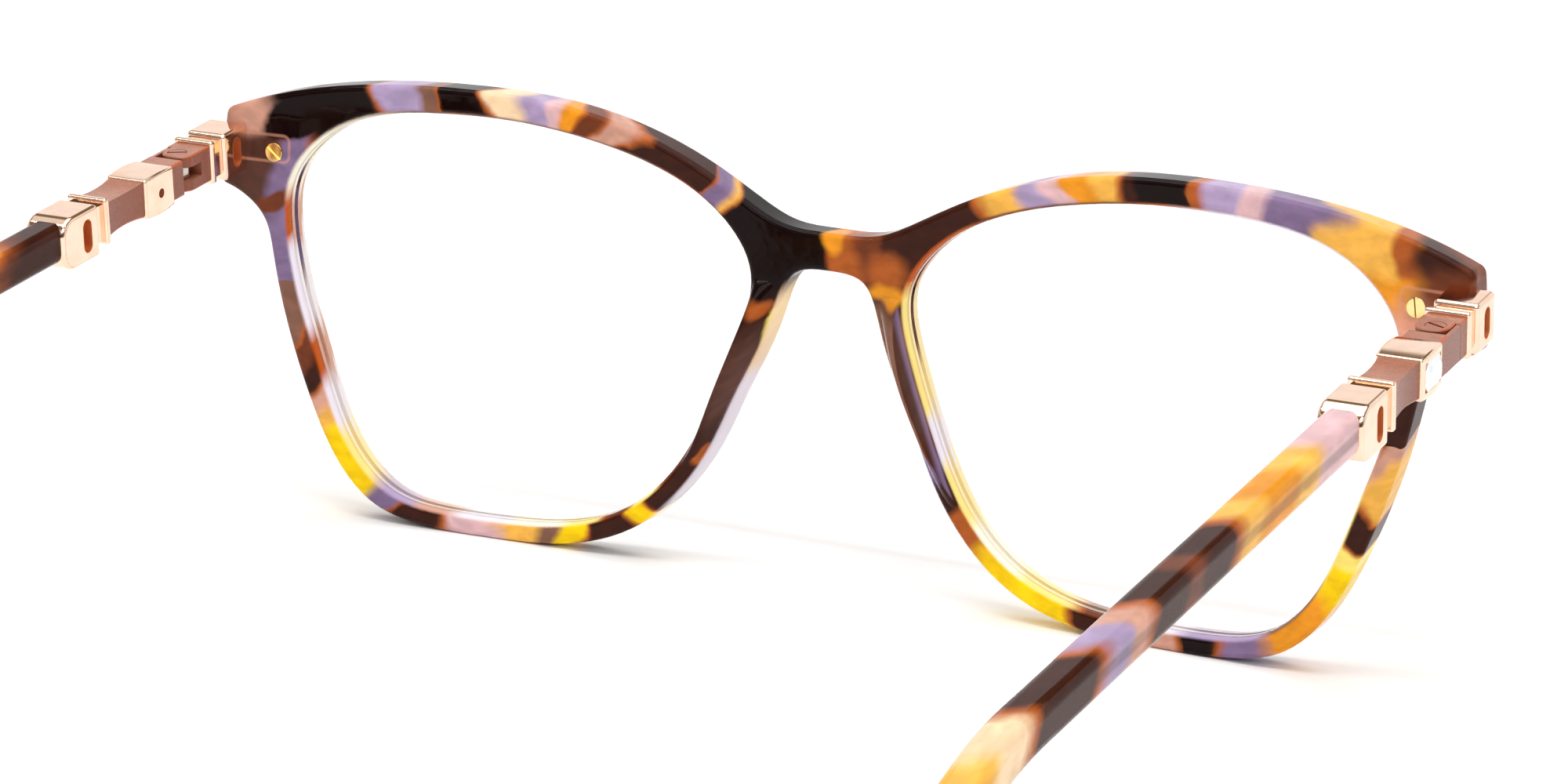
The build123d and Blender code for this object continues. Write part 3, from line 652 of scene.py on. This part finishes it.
def lacquer(side):
    """Brown lacquered bar, painted lighter on faces that point up and darker on faces that point down as
    painted light and shade, with an orange painted highlight on its bevelled edges.
    """
    graph = new_material("lacquer_" + side)
    where = temple_place(graph, side)
    turn = graph.node("ShaderNodeMapping", vector_type="POINT")
    graph.put(turn.inputs["Vector"], graph.node("ShaderNodeTexCoord").outputs["Normal"])
    turn.inputs["Rotation"].default_value = (DROOP, 0, 0)
    nx, _, nz = graph.split(turn.outputs[0])
    bevel = graph.math("MULTIPLY", graph.math("ABSOLUTE", nx), graph.math("ABSOLUTE", nz))
    bevel = graph.smooth(bevel, *BEVEL_RANGE)
    # painted light and shade: lighter where the face points up, darker where it points down
    tone = graph.mix(graph.smooth(nz, *LACQUER_LIT_RANGE), LACQUER_SHADED, LACQUER_LIT_TOP)
    cloud = graph.noise(where, *LACQUER_CLOUD_NOISE)
    cloud = graph.smooth(cloud, *LACQUER_CLOUD_RANGE, 0.0, LACQUER_CLOUD_MOST)
    # painted highlight: orange on the bevelled edges
    tone = graph.mix(bevel, graph.mix(cloud, tone, LACQUER_CLOUD), BEVEL_HIGHLIGHT)
    speck = graph.noise(where, SPECK_FREQUENCY)
    return graph.surface(
        Base_Color=tone, Roughness=graph.smooth(speck, *SPECK_RANGE, *SPECK_ROUGHNESS),
        Specular_IOR_Level=0.4, Normal=graph.bump(speck, *SPECK_BUMP))


def crystal():
    """Cut stone: bright, with reflections that change from facet to facet."""
    graph = new_material("crystal")
    cloud = graph.noise(graph.place_mm((0, 0, 0)), STONE_CLOUD_FREQUENCY)
    tone = graph.mix(graph.smooth(cloud, *STONE_CLOUD_RANGE), *STONE_TONES)
    return graph.surface(
        Base_Color=tone, Roughness=0.02, IOR=1.8, Metallic=0.5, Specular_IOR_Level=1.0)


def clear_lens():
    """Clear plastic lens: almost only its reflections. Its edge takes the colour of the rim's wall, painted
    glow included, paled toward ivory as a painted reflection of the lens.
    """
    graph = new_material("clear_lens")
    glance = graph.node("ShaderNodeLayerWeight")
    glance.inputs["Blend"].default_value = LENS_SHEEN_BLEND
    facing_y = graph.split(graph.node("ShaderNodeTexCoord").outputs["Normal"])[1]
    on_face = graph.smooth(graph.math("ABSOLUTE", facing_y), *LENS_FACE)
    sheen = graph.smooth(glance.outputs["Facing"], *LENS_SHEEN_RANGE, *LENS_SHEEN)
    tone = graph.mix(graph.noise(graph.place_mm((0, 0, 0)), 0.05, 1.0), *LENS_TONES)
    wall = wall_colour(graph, graph.place_mm((0, BRIDGE_BACK_Y, LENS_MIDDLE_Z)))
    # the edge: the wall's colour with its painted glow, paled by a painted reflection of the lens
    tone = graph.mix(on_face, graph.mix(LENS_EDGE_REFLECTION_SHARE, wall, TORTOISE["ivory"]), tone)
    seen = graph.math("ADD", graph.math("MULTIPLY", sheen, on_face), graph.math("SUBTRACT", 1.0, on_face))
    return graph.surface(Base_Color=tone, Roughness=0.02, IOR=PLASTIC_IOR, Alpha=seen)


# ---------- modelled pieces ----------
FIN_TOP, FIN_BOTTOM = 7.4, -13.6     # mm from the height of the lens centres
FIN_RISE = 2.6                       # mm behind the rim
FIN_RIDGE = 0.74                     # where the ridge lies, from the nose side to the lens side
FIN_SLOPE, FIN_FALL = 1.25, 0.62     # powers that shape its two sides
FIN_EARLY, FIN_FULL = 0.82, 0.9      # powers that shape its ridge along the rim
FIN_END = 0.1                        # mm under the rim's back at its two ends
FIN_ROWS, FIN_COLUMNS = 72, 32
FIN_SUNK = 0.35                      # mm that its edges are let into the rim
FIN_INSET = 0.25                     # mm that its edges keep from the rim's own edges
PROBE_DEPTH, PROBE_STEP = 0.9, 0.5   # mm inside the rim's back, and past its first wall


def new_piece(name, points_mm, faces, material, body, replaced, smooth):
    """Closed mesh that rides on a body and stands for a CAD node."""
    mesh = bpy.data.meshes.new(name)
    mesh.from_pydata([tuple(value * MM for value in point) for point in points_mm], [], faces)
    mesh.materials.append(material)
    mesh.polygons.foreach_set("use_smooth", [smooth] * len(mesh.polygons))
    bm = bmesh.new()
    bm.from_mesh(mesh)
    bmesh.ops.recalc_face_normals(bm, faces=bm.faces)
    bm.to_mesh(mesh)
    bm.free()
    piece = bpy.data.objects.new(name, mesh)
    bpy.context.scene.collection.objects.link(piece)
    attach(piece, body)
    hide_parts(replaced)


def ring_faces(rings, size):
    """Faces of a closed solid whose points lie on rings of one size, with a flat cap at each end."""
    faces = []
    for row in range(rings - 1):
        for k in range(size):
            a, b = row * size + k, row * size + (k + 1) % size
            faces.append((a, b, b + size, a + size))
    return faces + [tuple(range(size)), tuple(range((rings - 1) * size, rings * size))]


def rim_span(height, outward):
    """Where the rim's nose side and lens side lie at this height, in mm from the middle."""
    front, way = NODES["front_frame"], Vector((outward, 0, 0))
    start = Vector((0, BRIDGE_BACK_Y - PROBE_DEPTH, height)) * MM
    _, nose, _, _ = front.ray_cast(start, way)
    _, lens, _, _ = front.ray_cast(nose + way * PROBE_STEP * MM, way)
    return abs(nose.x) / MM, abs(lens.x) / MM


def fin_profile(across):
    """Height across the fin: a long slope from the nose side to its ridge, then a steep fall to the lens."""
    if across < FIN_RIDGE:
        return math.sin(math.pi / 2 * across / FIN_RIDGE) ** FIN_SLOPE
    return math.cos(math.pi / 2 * (across - FIN_RIDGE) / (1 - FIN_RIDGE)) ** FIN_FALL


def fin_height(along):
    """Height of the ridge: it grows fast below the top and dies away slowly toward the bottom."""
    return (FIN_RISE + FIN_END) * math.sin(math.pi * along ** FIN_EARLY) ** FIN_FULL - FIN_END


def make_fin(side, material):
    """Nose fin on the back of the rim, let into it so that no gap shows at its edges."""
    outward = 1 if side == "left" else -1
    bpy.context.view_layer.update()
    points = []
    for row in range(FIN_ROWS):
        along = row / (FIN_ROWS - 1)
        height = LENS_MIDDLE_Z + FIN_TOP + (FIN_BOTTOM - FIN_TOP) * along
        nose, lens = rim_span(height, outward)
        nose, lens = nose + FIN_INSET, lens - FIN_INSET
        back = BRIDGE_BACK_Y + nose * nose / (2 * FRONT_BEND_RADIUS)
        for column in range(FIN_COLUMNS):
            across = column / (FIN_COLUMNS - 1)
            rise = (fin_height(along) + FIN_SUNK) * fin_profile(across) - FIN_SUNK
            points.append((outward * (nose + (lens - nose) * across), back + rise, height))
        points += [(outward * place, back - 2 * FIN_SUNK, height) for place in (lens, nose)]
    faces = ring_faces(FIN_ROWS, FIN_COLUMNS + 2)
    new_piece("nose_fin_" + side, points, faces, material,
              "front", "nose_pad_" + side, True)


STONE_LENGTH, STONE_WIDTH, STONE_CORNER = 4.1, 2.9, 0.62      # mm
STONE_CORNER_INSET, STONE_CORNER_LEAST = 0.45, 0.12
# Tiers of the stone, from its girdle to its table: share of its height, inset in mm.
STONE_STEPS = [(0.0, 0.0), (0.34, 0.0), (0.55, 0.3), (0.8, 0.55), (1.0, 0.86)]


def make_stone(side, material):
    """Step-cut crystal: a girdle, three tiers of facets and a flat table."""
    low, high = (Vector(corner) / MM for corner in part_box("baguette_stone_" + side))
    outward = 1 if side == "left" else -1
    seat, top = sorted((abs(low.x), abs(high.x)))
    ahead = Vector((0, math.cos(DROOP), -math.sin(DROOP)))
    above = Vector((0, math.sin(DROOP), math.cos(DROOP)))
    middle = HINGES["temple_" + side] / MM + (STONE_ALONG - HINGE_ALONG) * ahead
    points = []
    for share, inset in STONE_STEPS:
        a, b = STONE_LENGTH / 2 - inset, STONE_WIDTH / 2 - inset
        c = max(STONE_CORNER - inset * STONE_CORNER_INSET, STONE_CORNER_LEAST)
        ring = [(a, b - c), (a - c, b), (c - a, b), (-a, b - c),
                (-a, c - b), (c - a, -b), (a - c, -b), (a, c - b)]
        out = outward * (seat + (top - seat) * share)
        for along, up in ring:
            place = middle + along * ahead + up * above
            points.append((out, place.y, place.z))
    faces = ring_faces(len(STONE_STEPS), len(ring))
    new_piece("cut_stone_" + side, points, faces, material,
              "temple_" + side, "baguette_stone_" + side, False)


def use(material, *nodes):
    """The material in the slots of CAD nodes."""
    for name in nodes:
        slots = NODES[name].data.materials
        slots.clear()
        slots.append(material)


TEMPLES = {"left": (LEFT_TEMPLE, 5.0), "right": (RIGHT_TEMPLE, 11.0)}    # bands, seed


def dress_cad():
    """Materials of the CAD nodes, and the pieces that stand for the nose pads and the stones."""
    acetate = acetate_front()
    use(acetate, "front_frame", "nose_pad_left", "nose_pad_right")
    metals = {name: polished_metal(name) for name in METALS}
    stone, lens = crystal(), clear_lens()
    for side, (bands, seed) in TEMPLES.items():
        use(acetate_temple(side, bands, seed), "temple_arm_" + side)
        use(lacquer(side), "temple_bar_" + side, "hinge_block_" + side, "hinge_screw_" + side)
        use(metals["rose_gold_links"], "front_link_" + side, "rear_link_" + side)
        use(metals["rose_gold"], "mid_sleeve_" + side, "anchor_plate_" + side)
        use(metals["yellow_gold"], "anchor_screw_" + side)
        use(metals["steel"], "hinge_leaf_" + side)
        use(metals["core_steel"], "core_wire_" + side)
        use(stone, "baguette_stone_" + side)
        use(lens, "demo_lens_" + side)
        make_fin(side, acetate)
        make_stone(side, stone)


# ---------- studio ----------
FLOOR_HALF = 3.0                      # m
FLOOR_TONES = (srgb(250, 250, 250), srgb(247, 247, 248))
LIGHTS = [                            # name, place and aim in m, size in m, power in W
    ("overhead", (0.1, 0.0, 1.3), (0, 0, 0), (1.6, 1.3), 8.5),
    ("strip", (0.0, 0.3, 1.0), (0, 0, 0.02), (1.6, 0.025), 3.6),
    ("behind", (-0.4, 1.0, 0.85), (0, 0, 0.02), (1.3, 0.6), 5.0),
]
WORLD_LOW, WORLD_HIGH = (0.62, 0.6, 0.59, 1), (0.8, 0.8, 0.8, 1)
WORLD_BEFORE = (1.0, 1.0, 1.0, 1)     # on the side that the glasses look to
WORLD_RING, WORLD_DARK = (0.2, 0.16, 0.1, 1), (0.1, 0.07, 0.055, 1)
# Their soft steps, by height (z) or by the side behind the glasses (y) on the unit sphere of directions.
HIGH_Z, BEFORE_Y = (0.0, 0.8), (0.0, -0.6)
RING_BOTTOM_Z, RING_TOP_Z = (0.52, 0.6), (0.82, 0.74)
DARK_Z, DARK_Y = (0.55, 0.2), (0.0, 0.6)


def make_floor():
    graph = new_material("floor")
    tone = graph.mix(graph.noise(graph.place_mm((0, 0, 0)), 0.002), *FLOOR_TONES)
    material = graph.surface(Base_Color=tone, Roughness=0.9, Specular_IOR_Level=0.1)
    mesh = bpy.data.meshes.new("floor")
    corners = [(x * FLOOR_HALF, y * FLOOR_HALF, 0) for x, y in ((-1, -1), (1, -1), (1, 1), (-1, 1))]
    mesh.from_pydata(corners, [], [(0, 1, 2, 3)])
    mesh.materials.append(material)
    floor = bpy.data.objects.new("floor", mesh)
    bpy.context.scene.collection.objects.link(floor)


def area_light(name, place, aim, size, power):
    data = bpy.data.lights.new(name, "AREA")
    data.shape = "RECTANGLE"
    data.size, data.size_y = size
    data.energy = power
    light = bpy.data.objects.new(name, data)
    light.location = place
    light.rotation_mode = "QUATERNION"
    light.rotation_quaternion = (Vector(aim) - Vector(place)).to_track_quat("-Z", "Y")
    bpy.context.scene.collection.objects.link(light)


def make_world():
    """Soft white studio, with a dark ring high up and a dark zone low behind for gloss to reflect."""
    graph = Graph(bpy.data.worlds.new("studio"))
    _, y, z = graph.split(graph.node("ShaderNodeTexCoord").outputs["Generated"])
    tone = graph.mix(graph.smooth(z, *HIGH_Z), WORLD_LOW, WORLD_HIGH)
    tone = graph.mix(graph.smooth(y, *BEFORE_Y), tone, WORLD_BEFORE)
    ring = graph.product(graph.smooth(z, *RING_BOTTOM_Z), graph.smooth(z, *RING_TOP_Z))
    tone = graph.mix(ring, tone, WORLD_RING)
    dark = graph.product(graph.smooth(z, *DARK_Z), graph.smooth(y, *DARK_Y))
    tone = graph.mix(dark, tone, WORLD_DARK)
    back = graph.node("ShaderNodeBackground")
    graph.put(back.inputs["Color"], tone)
    out = graph.node("ShaderNodeOutputWorld")
    graph.tree.links.new(back.outputs[0], out.inputs["Surface"])
    bpy.context.scene.world = graph.owner


make_camera()
dress_cad()
make_floor()
make_world()
for light in LIGHTS:
    area_light(*light)
bpy.context.scene.view_settings.view_transform = "Standard"
